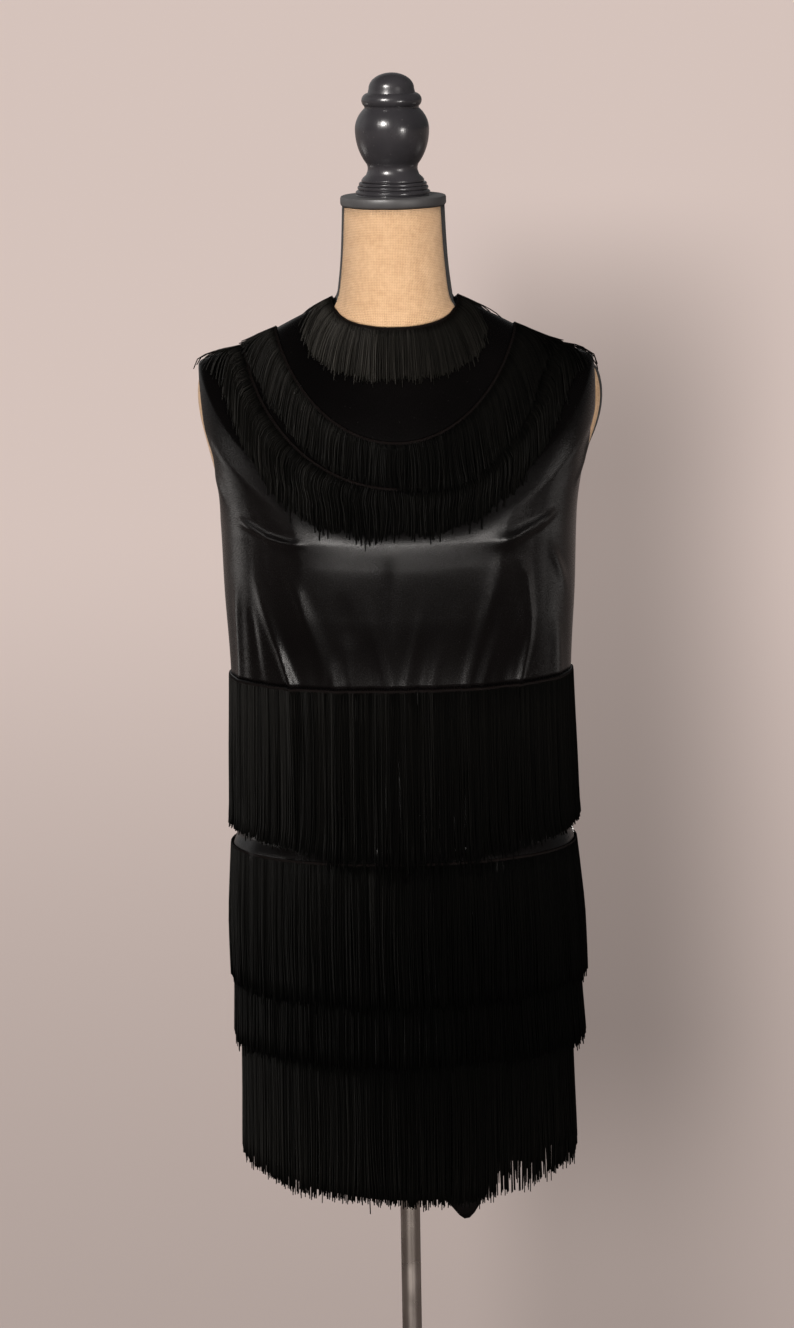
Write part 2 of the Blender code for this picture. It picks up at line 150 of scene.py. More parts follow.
def hangingPath(angle, t, length, points, pull):
    # (angles, ring numbers) along strands that start square to their braid and turn to fall
    # down the slope of the cloth. Length is in metres, pull how far gravity turns them at last.
    angles, rings = [angle], [t]
    step = length / (points - 1)
    for count in range(points - 1):
        a, r = angles[-1], rings[-1]
        perDegree = sidewaysStep(a, r)
        perRing = (dressPoint(a, r + 0.02) - dressPoint(a, r)) / 0.02
        normal = unit(np.cross(perRing, perDegree))
        fall = -np.array([0, 0, 1.0]) + normal * normal[:, 2:]
        share = pull * min(1.0, (count + 0.5) / (0.3 * points))
        heading = unit((1 - share) * unit(perRing) + share * unit(fall)) * step[:, None]
        aa, rr = (perDegree**2).sum(1), (perRing**2).sum(1)
        ar = (perDegree * perRing).sum(1)
        ha, hr = (heading * perDegree).sum(1), (heading * perRing).sum(1)
        scale = 1 / (aa * rr - ar * ar)
        angles.append(a + (ha * rr - hr * ar) * scale)
        rings.append(r + (hr * aa - ha * ar) * scale)
    return np.array(angles).T, np.array(rings).T


# Waves of the hem: angle, how far they dip inwards, how far the edge drops, spread in degrees
hemWaves = [
    (-72, 9.0, -4.0, 18.0), (-48, 5.0, 0.0, 14.0), (-24, 8.0, 2.0, 16.0), (6, 6.0, 3.0, 14.0),
    (21, 4.0, 26.0, 10.0), (42, 13.0, -17.0, 18.0), (66, 9.0, -12.0, 18.0), (108, 8.0, 3.0, 18.0),
    (144, 9.0, -3.0, 18.0), (-168, 7.0, 4.0, 18.0), (-132, 9.0, -4.0, 18.0), (-102, 7.0, 3.0, 16.0),
]


def hemWave(angle, t):
    # (how far the cloth dips inwards, how far it drops), in metres
    share = np.clip(t - (len(ringTable) - 2), 0, 1)
    dip = drop = 0
    for at, depth, fall, spread in hemWaves:
        off = np.abs((angle - at + 180) % 360 - 180)
        wave = np.where(off < spread, np.cos(0.5 * np.pi * off / spread) ** 2, 0.0)
        dip = dip + depth * wave
        drop = drop + fall * wave
    return share**1.4 * dip * mm, share**2 * drop * mm


def join(tree, source, target):
    tree.links.new(source, target)


def feed(tree, value, socket):
    # a number or a colour is set on the socket, and an output is joined to it
    if isinstance(value, (int, float)):
        socket.default_value = value
    elif isinstance(value, tuple):
        socket.default_value = (*value, 1)
    else:
        join(tree, value, socket)


def addNode(tree, kind, feeds=(), **settings):
    node = tree.nodes.new("ShaderNode" + kind)
    for name, value in settings.items():
        setattr(node, name, value)
    for socket, value in dict(feeds).items():
        feed(tree, value, node.inputs[socket])
    return node


def mathNode(tree, operation, *values):
    return addNode(tree, "Math", enumerate(values), operation=operation).outputs[0]


def times(tree, first, second):
    return mathNode(tree, "MULTIPLY", first, second)


def rangeNode(tree, value, low, high, toLow=0.0, toHigh=1.0):
    # toLow at low and toHigh at high, eased at both ends
    feeds = {"Value": value, "From Min": low, "From Max": high, "To Min": toLow, "To Max": toHigh}
    return addNode(tree, "MapRange", feeds, interpolation_type="SMOOTHSTEP").outputs["Result"]


def noiseNode(tree, vector, scale, detail=2.0):
    feeds = {"Vector": vector, "Scale": scale, "Detail": detail}
    return addNode(tree, "TexNoise", feeds).outputs["Fac"]


def mixColour(tree, factor, first, second):
    feeds = {0: factor, 6: first, 7: second}
    return addNode(tree, "Mix", feeds, data_type="RGBA").outputs[2]


def positionParts(tree, vector):
    return addNode(tree, "SeparateXYZ", {0: vector}).outputs


def bumpNode(tree, height, distance, strength, normal=None):
    feeds = {"Height": height, "Distance": distance, "Strength": strength}
    if normal:
        feeds["Normal"] = normal
    return addNode(tree, "Bump", feeds).outputs["Normal"]


def newGroup(name, inputs, outputs):
    # the first input is the place on the surface, and the others are numbers that each use gives
    tree = bpy.data.node_groups.new(name, "ShaderNodeTree")
    tree.interface.new_socket("Vector", in_out="INPUT", socket_type="NodeSocketVector")
    for direction, labels in (("INPUT", inputs), ("OUTPUT", outputs)):
        for label in labels:
            tree.interface.new_socket(label, in_out=direction, socket_type="NodeSocketFloat")
    return tree, tree.nodes.new("NodeGroupInput").outputs, tree.nodes.new("NodeGroupOutput").inputs


def useGroup(tree, group, vector, **values):
    return addNode(tree, "Group", {"Vector": vector, **values}, node_tree=group).outputs


def wovenClothGroup():
    # a plain weave: warp and weft that pass over and under each other, with uneven yarns
    tree, given, made = newGroup("wovenCloth", ["Threads", "Uneven"], ["Height", "Yarn"])
    feeds = {0: given["Vector"], "Scale": given["Threads"]}
    cloth = addNode(tree, "VectorMath", feeds, operation="SCALE").outputs[0]
    wobble = noiseNode(tree, cloth, 0.13)
    shift = times(tree, mathNode(tree, "SUBTRACT", wobble, 0.5), given["Uneven"])
    parts = positionParts(tree, cloth)
    waves = []
    for axis in (0, 1):
        place = mathNode(tree, "ADD", parts[axis], shift)
        waves.append(mathNode(tree, "SINE", times(tree, place, math.pi)))
    over = rangeNode(tree, times(tree, *waves), -0.25, 0.25)
    warp, weft = (mathNode(tree, "ABSOLUTE", wave) for wave in waves)
    warpPart = times(tree, warp, over)
    weftPart = times(tree, weft, mathNode(tree, "SUBTRACT", 1.0, over))
    join(tree, mathNode(tree, "ADD", warpPart, weftPart), made["Height"])
    join(tree, noiseNode(tree, cloth, 0.31, 3.0), made["Yarn"])
    return tree


def twistedYarnGroup():
    # ridges that wind round a yarn, on its own UV map: X goes round it and Y along it in metres
    tree, given, made = newGroup("twistedYarn", ["Turns", "Plies"], ["Height"])
    parts = positionParts(tree, given["Vector"])
    around = times(tree, parts[0], given["Plies"])
    along = times(tree, parts[1], given["Turns"])
    turn = times(tree, mathNode(tree, "ADD", around, along), 2 * math.pi)
    join(tree, mathNode(tree, "ABSOLUTE", mathNode(tree, "SINE", turn)), made["Height"])
    return tree


def settledDustGroup():
    # sparse lint on dark cloth and paint, and soft patches where the surface is a little worn
    tree, given, made = newGroup("settledDust", ["Specks", "Patches"], ["Lint", "Worn"])
    feeds = {"Vector": given["Vector"], "Scale": given["Specks"]}
    speck = addNode(tree, "TexVoronoi", feeds, feature="F1")
    chosen = addNode(tree, "SeparateColor", {0: speck.outputs["Color"]})
    rare = rangeNode(tree, chosen.outputs[0], 0.965, 0.985)
    near = rangeNode(tree, speck.outputs["Distance"], 0.22, 0.05)
    join(tree, times(tree, rare, near), made["Lint"])
    patch = noiseNode(tree, given["Vector"], given["Patches"], 4.0)
    join(tree, rangeNode(tree, patch, 0.35, 0.7), made["Worn"])
    return tree


def drawnLinesGroup():
    # fine lines along Z that vary in brightness, for drawn and turned metal and for wood grain
    tree, given, made = newGroup("drawnLines", ["Lines", "Stretch"], ["Line"])
    squash = addNode(tree, "CombineXYZ", {0: 1.0, 1: 1.0, 2: given["Stretch"]})
    feeds = {0: given["Vector"], 1: squash.outputs[0]}
    flat = addNode(tree, "VectorMath", feeds, operation="MULTIPLY")
    join(tree, noiseNode(tree, flat.outputs[0], given["Lines"], 3.0), made["Line"])
    return tree


wovenCloth = wovenClothGroup()
twistedYarn = twistedYarnGroup()
settledDust = settledDustGroup()
drawnLines = drawnLinesGroup()


def newMaterial(name, colour, roughness, **sockets):
    material = bpy.data.materials.new(name)
    material.use_nodes = True
    tree = material.node_tree
    shader = tree.nodes["Principled BSDF"]
    shader.inputs["Base Color"].default_value = (*colour, 1)
    shader.inputs["Roughness"].default_value = roughness
    for socket, value in sockets.items():
        shader.inputs[socket.replace("_", " ")].default_value = value
    return material, tree, shader.inputs, addNode(tree, "TexCoord").outputs


def satinMaterial():
    look = {
        "colour": (0.0014, 0.0011, 0.0011),
        "worn": (0.0026, 0.0021, 0.0021),
        "lint": (0.05, 0.045, 0.043),
    }
    material, tree, shader, place = newMaterial("blackSatin", look["colour"], 0.26, Specular_IOR_Level=0.22)
    dust = useGroup(tree, settledDust, place["Object"], Specks=420.0, Patches=7.0)
    weave = useGroup(tree, wovenCloth, place["UV"], Threads=2400.0, Uneven=0.5)
    tone = mixColour(tree, dust["Worn"], look["colour"], look["worn"])
    tone = mixColour(tree, times(tree, dust["Lint"], 0.35), tone, look["lint"])
    join(tree, tone, shader["Base Color"])
    join(tree, rangeNode(tree, weave["Yarn"], 0.2, 0.8, 0.24, 0.29), shader["Roughness"])
    ripple = noiseNode(tree, place["Object"], 26.0)
    rippled = bumpNode(tree, ripple, 0.004, 0.10)
    join(tree, bumpNode(tree, weave["Height"], 0.00003, 0.5, rippled), shader["Normal"])
    return material


def fringeMaterial():
    look = {
        "colour": (0.0008, 0.0008, 0.0007),
        "light": (0.0150, 0.0138, 0.0118),
        "paintedGrooveShade": (0.0006, 0.0006, 0.0005),
    }
    material, tree, shader, place = newMaterial(
        "blackChainette", look["colour"], 0.62, Specular_IOR_Level=0.03
    )
    # random tone together with painted light and shade: the strand's factor lifts it from the base colour
    # towards the light one
    shade = addNode(tree, "Attribute", attribute_name="strandToneAndLight").outputs["Fac"]
    twist = useGroup(tree, twistedYarn, place["UV"], Turns=620.0, Plies=1.0)
    tone = mixColour(tree, shade, look["colour"], look["light"])
    # painted shade: the grooves of the yarn's twist darker than its ridges
    paintedGrooveShade = rangeNode(tree, twist["Height"], 0.0, 0.6, 0.45, 0.0)
    join(tree, mixColour(tree, paintedGrooveShade, tone, look["paintedGrooveShade"]), shader["Base Color"])
    join(tree, bumpNode(tree, twist["Height"], 0.0003, 0.8), shader["Normal"])
    return material


def braidMaterial():
    look = {"colour": (0.0016, 0.0010, 0.0009), "light": (0.0085, 0.0052, 0.0045)}
    material, tree, shader, place = newMaterial("blackBraid", look["colour"], 0.5, Specular_IOR_Level=0.12)
    twist = useGroup(tree, twistedYarn, place["UV"], Turns=500.0, Plies=2.0)
    # painted light and shade: the ridges of the twist lighter and its grooves darker
    join(tree, mixColour(tree, twist["Height"], look["colour"], look["light"]), shader["Base Color"])
    join(tree, bumpNode(tree, twist["Height"], 0.0003, 0.9), shader["Normal"])
    return material


def coverMaterial():
    # burlap on the form's front half and black cloth on its back half, joined on a line that
    # runs from the neck out to the shoulder caps
    look = {
        "burlap": (0.578, 0.357, 0.192),
        "pale": (0.74, 0.498, 0.297),
        "weaveHollowShade": (0.29, 0.155, 0.07),
        "back": (0.012, 0.011, 0.011),
        "seamStart": -0.0245,
        "seamSlope": 0.15,
        "seamSkew": -0.05,
        "neckRadius": 0.052,
    }
    material, tree, shader, place = newMaterial("burlapCover", look["burlap"], 0.92, Sheen_Weight=0.1)
    place = place["Object"]
    x, y, z = positionParts(tree, place)
    facing = mathNode(tree, "ARCTAN2", x, times(tree, y, -1.0))
    wrapped = addNode(tree, "CombineXYZ", {0: times(tree, facing, look["neckRadius"]), 1: z})
    weave = useGroup(tree, wovenCloth, wrapped.outputs[0], Threads=640.0, Uneven=0.7)
    # painted shade: the weave's hollows between the yarns darker than its crowns
    tone = mixColour(tree, rangeNode(tree, weave["Height"], 0.15, 0.75), look["weaveHollowShade"], look["burlap"])
    tone = mixColour(tree, rangeNode(tree, weave["Yarn"], 0.3, 0.8, 0.1, 0.45), tone, look["pale"])
    fine = noiseNode(tree, place, 60.0, 4.0)
    tone = mixColour(tree, rangeNode(tree, fine, 0.3, 0.8, 0.0, 0.35), tone, look["pale"])
    side = mathNode(tree, "ABSOLUTE", x)
    line = mathNode(tree, "MULTIPLY_ADD", side, look["seamSlope"], look["seamStart"])
    line = mathNode(tree, "MULTIPLY_ADD", x, look["seamSkew"], line)
    past = mathNode(tree, "SUBTRACT", y, line)
    back = rangeNode(tree, past, -0.0004, 0.0004)
    join(tree, mixColour(tree, back, tone, look["back"]), shader["Base Color"])
    welt = rangeNode(tree, mathNode(tree, "ABSOLUTE", past), 0.0, 0.0022)
    relief = bumpNode(tree, weave["Height"], 0.0007, 0.9)
    join(tree, bumpNode(tree, welt, 0.0012, 0.8, relief), shader["Normal"])
    return material


paintLint = (0.25, 0.23, 0.22)


def paintedMaterial(name, colour, light, roughness):
    material, tree, shader, place = newMaterial(name, colour, roughness)
    place = place["Object"]
    dust = useGroup(tree, settledDust, place, Specks=500.0, Patches=30.0)
    grain = useGroup(tree, drawnLines, place, Lines=260.0, Stretch=0.08)
    tone = mixColour(tree, times(tree, dust["Worn"], 0.5), colour, light)
    tone = mixColour(tree, times(tree, dust["Lint"], 0.5), tone, paintLint)
    join(tree, tone, shader["Base Color"])
    gloss = rangeNode(tree, dust["Worn"], 0.0, 1.0, roughness - 0.03, roughness + 0.06)
    join(tree, gloss, shader["Roughness"])
    join(tree, bumpNode(tree, grain["Line"], 0.0006, 0.25), shader["Normal"])
    return material


def steelMaterial(name, colour, roughness, stretch):
    material, tree, shader, place = newMaterial(name, colour, roughness, Metallic=1.0)
    place = place["Object"]
    lines = useGroup(tree, drawnLines, place, Lines=1500.0, Stretch=stretch)
    dust = useGroup(tree, settledDust, place, Specks=300.0, Patches=16.0)
    dull = tuple(0.62 * c for c in colour)
    drawn = rangeNode(tree, lines["Line"], 0.3, 0.7, 0.0, 0.45)
    join(tree, mixColour(tree, drawn, colour, dull), shader["Base Color"])
    join(tree, rangeNode(tree, dust["Worn"], 0.0, 1.0, roughness, roughness + 0.1), shader["Roughness"])
    join(tree, bumpNode(tree, lines["Line"], 0.00012, 0.35), shader["Normal"])
    return material


satin = satinMaterial()
chainette = fringeMaterial()
braidYarn = braidMaterial()
cover = coverMaterial()
lacquer = paintedMaterial("blackLacquer", (0.019, 0.018, 0.020), (0.030, 0.028, 0.031), 0.25)
capPaint = paintedMaterial("blackCapPaint", (0.042, 0.041, 0.042), (0.062, 0.060, 0.060), 0.48)
poleSteel = steelMaterial("drawnSteel", (0.72, 0.64, 0.585), 0.26, 0.01)
baseSteel = steelMaterial("brushedSteelBase", (0.60, 0.57, 0.54), 0.30, 1.0)
print("materials made")


def placeObject(name, data):
    placed = bpy.data.objects.new(name, data)
    bpy.context.scene.collection.objects.link(placed)
    return placed


def meshFrom(shape, name):
    mesh = bpy.data.meshes.new(name)
    shape.to_mesh(mesh)
    shape.free()
    return mesh


def addPiece(name, mesh, material, slotName, *replaced):
    piece = placeObject(name, mesh)
    mesh.materials.append(material)
    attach(piece, "root")
    if replaced:
        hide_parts(*replaced)
    return piece


def polish(mesh, degrees):
    mesh.shade_smooth()
    mesh.set_sharp_from_angle(angle=math.radians(degrees))


def seamFolds(name, fadeIn, rows):
    # folds that run down to the waist seam, as (top angle, top height, seam angle, lift, width)
    return {
        f"{name}{number}": (((top, height), (low, seamFoot)), lift, width, fadeIn, 0.01)
        for number, (top, height, low, lift, width) in enumerate(rows)
    }


# Creases of the satin. Each runs through two or more (angle, height) points. Lift is its height
# above the plain surface in mm, and a trough has a minus. Width is its half width in mm, and the
# ends say how much of its length it takes to fade in at its start and out at its end.
seamFoot = 1004
frontCreases = {
    "bandLeft": (
        ((-27, 1156), (-36, 1156), (-44, 1159), (-51, 1166), (-58, 1170), (-64, 1164)),
        3.2, 7, 0.35, 0.3,
    ),
    "bandRight": (
        ((26, 1155), (36, 1157), (42, 1163), (49, 1169), (56, 1175), (61, 1178)),
        3.2, 7, 0.35, 0.3,
    ),
    "panelEdgeLeft": (((-40, 1150), (-33, 1100), (-22, seamFoot)), 3.0, 13, 0.5, 0.01),
    "panelEdgeRight": (((34, 1150), (28, 1090), (21, seamFoot)), 3.0, 12, 0.5, 0.01),
    "ridgeLeft": (((-55, 1136), (-48, 1080), (-38.5, seamFoot)), 3.2, 9, 0.45, 0.01),
    **seamFolds("ridgeLeftLow", 0.6, [(-45, 1062, -38.5, 1.8, 4.5)]),
    "dartLeft": (((-49, 1118), (-33, 1052)), -0.4, 2.6, 0.3, 0.5),
    "foldRight": (
        ((39, 1148), (44, 1116), (46.5, 1075), (46.5, 1050), (43, seamFoot)), 2.2, 6, 0.3, 0.01
    ),
    "swellRight": (((42, 1098), (41, 1035)), 1.4, 11, 0.5, 0.5),
    "sideTopRight": (((55, 1150), (72, 1085)), 1.6, 9, 0.4, 0.5),
    **seamFolds("sideRightLow", 0.6, [(62, 1085, 66, 1.6, 11)]),
    **seamFolds("sideLeft", 0.4, [(-66, 1120, -70, 1.8, 13), (-58, 1098, -55, -1.6, 9)]),
    "troughCentre": (((-3, 1146), (-3, 1045)), -1.6, 10, 0.4, 0.4),
    "troughLeft": (((-19, 1115), (-16, 1045)), -1.2, 9, 0.5, 0.4),
    **seamFolds("gather", 0.9, [
        (-18, 1070, -16, 1.8, 5.5), (-11, 1118, -4, 2.0, 6), (9, 1118, 1, 2.0, 6), (14, 1070, 10, 1.8, 5),
    ]),
    **seamFolds("between", 0.8, [
        (33, 1078, 27, 2.2, 7), (-23, 1060, -25, -1.4, 6), (-12, 1080, -10, -1.6, 6), (9, 1070, 5, -1.6, 5),
    ]),
    **seamFolds("hollow", 0.7, [(26, 1112, 20, -1.8, 8), (38, 1052, 36, -1.6, 8)]),
    "armLeft": (((-76, 1225), (-68, 1180)), 1.6, 10, 0.5, 0.5),
    "armRight": (((84, 1262), (76, 1215)), 2.4, 7, 0.4, 0.4),
    "armRightLow": (((80, 1230), (70, 1195)), 2.0, 7, 0.4, 0.5),
}
backCreases = {
    "shoulderBlade1": (((150, 1190), (140, 1120)), 1.6, 14, 0.5, 0.5),
    "shoulderBlade2": (((-146, 1185), (-138, 1115)), 1.8, 14, 0.5, 0.5),
    "armFold1": (((104, 1190), (116, 1120)), 2.2, 9, 0.4, 0.5),
    "armFold2": (((-103, 1180), (-118, 1110)), 2.4, 9, 0.4, 0.5),
    **seamFolds("gather", 0.8, [
        (166, 1085, 168, 2.6, 7), (155, 1060, 153, 2.2, 6), (143, 1100, 139, 3.0, 8),
        (121, 1070, 124, 2.4, 7), (108, 1085, 104, 2.2, 9), (-168, 1070, -166, 2.4, 6),
        (-158, 1090, -155, 2.8, 7), (-140, 1075, -143, 2.2, 7), (-124, 1095, -127, 2.8, 8),
        (-106, 1060, -108, 2.0, 7),
    ]),
    "hollow1": (((134, 1110), (131, 1020)), -1.8, 12, 0.5, 0.3),
    "hollow2": (((-132, 1110), (-134, 1020)), -1.8, 12, 0.5, 0.3),
    **seamFolds("dart", 0.5, [(126, 1100, 128, -1.0, 3), (-118, 1100, -116, -1.0, 3)]),
}
skirtCreases = {
    "tucked": (((-180, 846), (-90, 848), (0, 846), (90, 848), (180, 846)), -4.5, 17, 0, 0),
    **{
        f"hang{number}": (((top, height), (low, foot)), lift, width, 0.3, 0.3)
        for number, (top, height, low, foot, lift, width) in enumerate([
            (-60, 990, -62, 600, 1.6, 22), (-20, 995, -16, 560, 1.4, 26), (34, 1000, 30, 540, 1.8, 24),
            (70, 880, 68, 560, 1.6, 18), (120, 1000, 124, 560, 1.8, 24), (158, 990, 152, 560, 1.4, 26),
            (-150, 1000, -154, 560, 1.8, 22), (-108, 980, -110, 560, 1.6, 20),
        ])
    },
    "seatGlint": (((-37, 864), (-27, 846)), 3.0, 6, 0.4, 0.4),
}

seamHeight = 1008.0
headBlend = 14
# how a crease's width swells and narrows along it
creaseTaper = {"least": 0.75, "swing": 0.25, "turns": 2.6}
girthAngles = np.arange(-180, 180.5, 1.0)
girthPoints = dressPoint(girthAngles, np.full_like(girthAngles, ringNames.index("ribs")))
girthLengths = np.linalg.norm(np.diff(girthPoints, axis=0), axis=1) / mm
girthPlaces = np.hstack([[0], np.cumsum(girthLengths)])
girthPlaces -= np.interp(0, girthAngles, girthPlaces)


def girth(angle):
    # millimetres round the body from the centre front
    return np.interp((np.asarray(angle, float) + 180) % 360 - 180, girthAngles, girthPlaces)


def creaseLift(creases, angle, height):
    whole = girthPlaces[-1] - girthPlaces[0]
    around = girth(angle)
    tiny = 1e-9
    total = np.zeros_like(around)
    least, swing, turns = creaseTaper.values()
    for points, lift, width, fadeIn, fadeOut in creases.values():
        line = np.array([(girth(at), up) for at, up in points], float)
        runs = np.diff(line, axis=0)
        sizes = np.hypot(*runs.T)
        walked = np.append(0, np.cumsum(sizes))
        best = np.full(around.shape, 1e6)
        along = np.zeros(around.shape)
        for start, run, size, before in zip(line, runs, sizes, walked):
            offset = (around - start[0] + whole / 2) % whole - whole / 2
            share = np.clip((offset * run[0] + (height - start[1]) * run[1]) / size**2, 0, 1)
            off = np.hypot(offset - share * run[0], height - start[1] - share * run[1])
            closer = off < best
            best = np.where(closer, off, best)
            along = np.where(closer, (before + share * size) / walked[-1], along)
        fade = np.clip((along + tiny) / (fadeIn + tiny), 0, 1)
        fade = fade * np.clip((1 - along + tiny) / (fadeOut + tiny), 0, 1)
        fade = fade * fade * (3 - 2 * fade)
        taper = least + swing * np.sin(turns * along + points[0][0])
        total += lift * fade * np.exp(-((best / (width * taper)) ** 2))
    return total * mm


# The bust's edge: the satin comes forward under the yoke and turns down along a line, given as
# (angle, height, how strong it is)
bustEdge = [
    (-56, 1164, 0.0), (-48, 1162, 0.15), (-40, 1157, 0.55), (-32, 1155, 1.1), (-22, 1155, 1.1),
    (-3, 1152, 0.9), (13, 1154, 0.9), (24, 1155, 1.1), (33, 1156, 1.1), (40, 1161, 0.6),
    (47, 1167, 0.2), (55, 1172, 0.0),
]
bustShelf = {"rise": 9.0, "above": 75.0, "below": 150.0, "round": 3.5, "upCurve": 1.3, "downCurve": 1.6}


def shelfLift(angle, height):
    angles, line, strength = zip(*bustEdge)
    off = height - np.interp(angle, angles, line)
    away = np.hypot(off, bustShelf["round"]) - bustShelf["round"]
    up = np.clip(1 - away / bustShelf["above"], 0, 1) ** bustShelf["upCurve"]
    down = np.clip(1 - (away / bustShelf["below"]) ** bustShelf["downCurve"], 0, 1)
    return bustShelf["rise"] * np.interp(angle, angles, strength) * np.where(off > 0, up, down) * mm


def clothRelief(angle, height):
    # how far the creased bodice stands off the plain surface, for what is sewn on it
    turned = (np.asarray(angle, float) + 180) % 360 - 180
    front = creaseLift(frontCreases, turned, height) + shelfLift(turned, height)
    return np.where(np.abs(turned) < 90, front, creaseLift(backCreases, turned, height))


def armholeReach(t, widest):
    top, bottom = ringNames.index("shoulder_edge"), ringNames.index("underarm")
    share = np.clip((t - top) / (bottom - top), 0, 1)
    return 90.0 - (90.0 - widest) * np.sin(np.pi * share) ** 0.6


def clothPanel(spec):
    # a grid laid on the dress's surface between its side seams, creased, then given its wall
    name, facing = spec["name"], spec["facing"]
    sheetMesh = bmesh.new()
    uvLayer = sheetMesh.loops.layers.uv.new("UVMap")
    bmesh.ops.create_grid(
        sheetMesh, x_segments=spec["columns"], y_segments=spec["rows"], size=0.5, calc_uvs=True
    )
    flat = np.array([vertex.co for vertex in sheetMesh.verts]) + 0.5
    across = 2 * flat[:, 0] - 1
    t = spec["top"] + (1 - flat[:, 1]) * (spec["bottom"] - spec["top"])
    reaches = dressShape["armholeFront"] if facing == 0 else dressShape["armholeBack"]
    widest = np.where(across > 0, reaches[1], reaches[0])
    swing = across * armholeReach(t, widest)
    angle = swing if facing == 0 else 180 - swing
    point, normal = dressPoint(angle, t), outward(angle, t)
    dip, drop = hemWave(angle, t)
    height = point[:, 2] / mm
    lift = creaseLift(spec["creases"], angle, height)
    if spec["top"]:
        # the skirt's head follows the gathers of the seam above it
        fade = np.exp((height - seamHeight) / headBlend)
        lift += clothRelief(angle, np.full_like(height, seamHeight)) * fade
    elif facing == 0:
        lift += shelfLift(angle, height)
    edge = (1 - np.abs(across)) * girth(90) * mm
    seam = spec["seamDip"] * np.exp(-((edge / spec["seamWidth"]) ** 2))
    point = point + normal * (lift - dip - seam)[:, None]
    point[:, 2] -= drop
    point[:, 1] += math.copysign(spec["seamGap"] / 2, facing - 90)
    for vertex, place in zip(sheetMesh.verts, point):
        vertex.co = place
    size = spec["cut"]
    for face in sheetMesh.faces:
        for loop in face.loops:
            u, v = loop[uvLayer].uv
            loop[uvLayer].uv = (u * size[0], v * size[1])
    bmesh.ops.recalc_face_normals(sheetMesh, faces=sheetMesh.faces)
    middle = sheetMesh.faces[len(sheetMesh.faces) // 2]
    if middle.normal.y * (-1 if facing == 0 else 1) < 0:
        bmesh.ops.reverse_faces(sheetMesh, faces=sheetMesh.faces)
    mesh = meshFrom(sheetMesh, name)
    mesh.shade_smooth()
    piece = addPiece(name, mesh, satin, "black_satin", spec["node"])
    wall = piece.modifiers.new("Wall", "SOLIDIFY")
    wall.thickness = dressShape["wall"] * mm
    wall.offset = -1
    print("panel", name, len(mesh.polygons), "faces")
    return piece


seams = {"seamDip": 0.0010, "seamWidth": 0.0035, "seamGap": 0.0003}
waist, hem = ringNames.index("waist_seam"), ringNames.index("hem")
bodice = {**seams, "top": 0, "bottom": waist}
skirt = {**seams, "top": waist, "bottom": hem, "columns": 90, "rows": 80, "creases": skirtCreases}
panels = [
    {**bodice, "name": "bodiceFront", "node": "bodice_front", "facing": 0,
     "columns": 170, "rows": 190, "creases": frontCreases, "cut": (0.44, 0.40)},
    {**bodice, "name": "bodiceBack", "node": "bodice_back", "facing": 180,
     "columns": 130, "rows": 140, "creases": backCreases, "cut": (0.42, 0.40)},
    {**skirt, "name": "skirtFront", "node": "skirt_front", "facing": 0, "cut": (0.44, 0.52)},
    {**skirt, "name": "skirtBack", "node": "skirt_back", "facing": 180, "cut": (0.43, 0.51)},
]
dressPanels = {spec["name"]: clothPanel(spec) for spec in panels}


def tubes(name, paths, sideways, radius, sides, tone, turn=None):
    # one mesh of many tubes: paths and sideways are (tubes, points, 3), radius (tubes, points)
    count, length = paths.shape[:2]
    along = unit(np.gradient(paths, axis=1))
    first = unit(sideways - along * np.sum(sideways * along, axis=-1, keepdims=True))
    second = np.cross(along, first)
    start = np.zeros(count) if turn is None else turn
    rings = []
    for side in range(sides):
        angle = (start + 2 * np.pi * side / sides)[:, None, None]
        rings.append(paths + (first * np.cos(angle) + second * np.sin(angle)) * radius[..., None])
    vertices = np.stack(rings, axis=2).reshape(-1, 3)
    tube, point, side = np.indices((count, length - 1, sides))

    def corner(p, s):
        return ((tube * length + p) * sides + s % sides).ravel()

    turns = ((0, 0), (0, 1), (1, 1), (1, 0))
    quads = np.stack([corner(point + p, side + s) for p, s in turns], axis=1)
    lengths = np.linalg.norm(np.diff(paths, axis=1), axis=-1)
    walk = np.hstack([np.zeros((count, 1)), np.cumsum(lengths, axis=1)])
    u = np.stack([side + s for _, s in turns], axis=-1) / sides
    v = np.stack([walk[tube, point + p] for p, _ in turns], axis=-1)
    ends = np.arange(count)[:, None] * length * sides
    ring = np.arange(sides)[None, :]
    caps = np.concatenate([ends + ring[:, ::-1], ends + (length - 1) * sides + ring])
    mesh = bpy.data.meshes.new(name)
    mesh.vertices.add(len(vertices))
    mesh.vertices.foreach_set("co", vertices.ravel())
    mesh.loops.add(quads.size + caps.size)
    mesh.loops.foreach_set("vertex_index", np.concatenate([quads.ravel(), caps.ravel()]))
    mesh.polygons.add(len(quads) + len(caps))
    starts = np.concatenate([np.arange(len(quads)) * 4, quads.size + np.arange(len(caps)) * sides])
    mesh.polygons.foreach_set("loop_start", starts)
    mesh.update(calc_edges=True)
    uvLayer = mesh.uv_layers.new(name="UVMap")
    uvs = np.concatenate([np.stack([u.ravel(), v.ravel()], axis=1), np.zeros((caps.size, 2))])
    uvLayer.data.foreach_set("uv", uvs.ravel())
    # per point tone; for the fringe this carries random tone together with painted light and shade
    toneLayer = mesh.attributes.new("strandToneAndLight", "FLOAT", "POINT")
    toneLayer.data.foreach_set("value", np.repeat(tone.ravel(), sides))
    mesh.validate()
    mesh.shade_smooth()
    return mesh


def smoothNoise(generator, angle, knots, size):
    # a soft random curve round the body
    values = generator.normal(0, size, knots)
    return np.interp(angle, np.linspace(-180, 180, knots + 1), np.append(values, values[0]))


